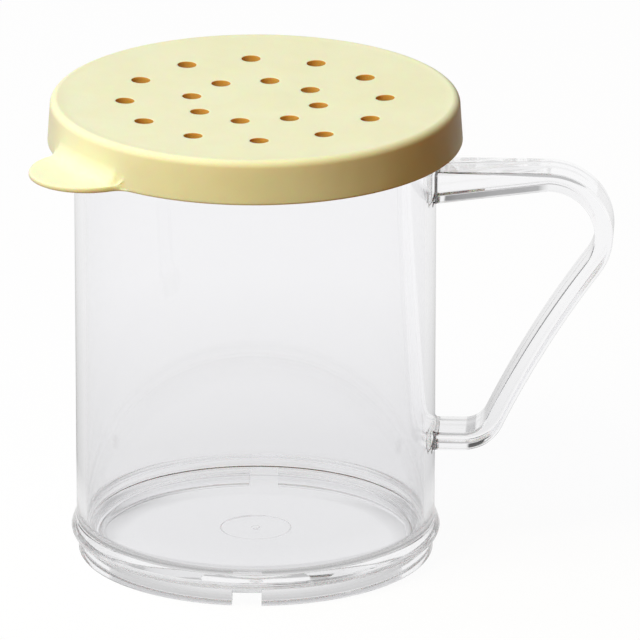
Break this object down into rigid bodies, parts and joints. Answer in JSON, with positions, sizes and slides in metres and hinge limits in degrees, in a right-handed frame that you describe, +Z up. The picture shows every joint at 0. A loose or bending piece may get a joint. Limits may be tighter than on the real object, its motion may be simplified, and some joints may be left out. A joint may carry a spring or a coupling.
{
  "type": "spice shaker",
  "caption": "Clear handled cup with a push-on perforated lid and a pull tab, for shaking out spices, salt or flour.",
  "frame": {"origin": "centre of the foot ring, on the plane that the shaker stands on", "axes": "+Z up the cup's axis to the lid, +X along the handle, +Y to the left of the handle seen from the cup"},
  "size_m": [0.116, 0.0834, 0.0958],
  "materials": {
    "clear_cup": "clear, polished",
    "lid_plastic": "satin moulded"
  },
  "bodies": {
    "cup": {"cup": "clear_cup"},
    "lid": {"lid": "lid_plastic"}
  },
  "joints": [
    {"name": "lid_lift", "type": "slide", "parent": "cup", "child": "lid", "axis": [0, 0, 1], "range_m": [0, 0.06]}
  ]
}
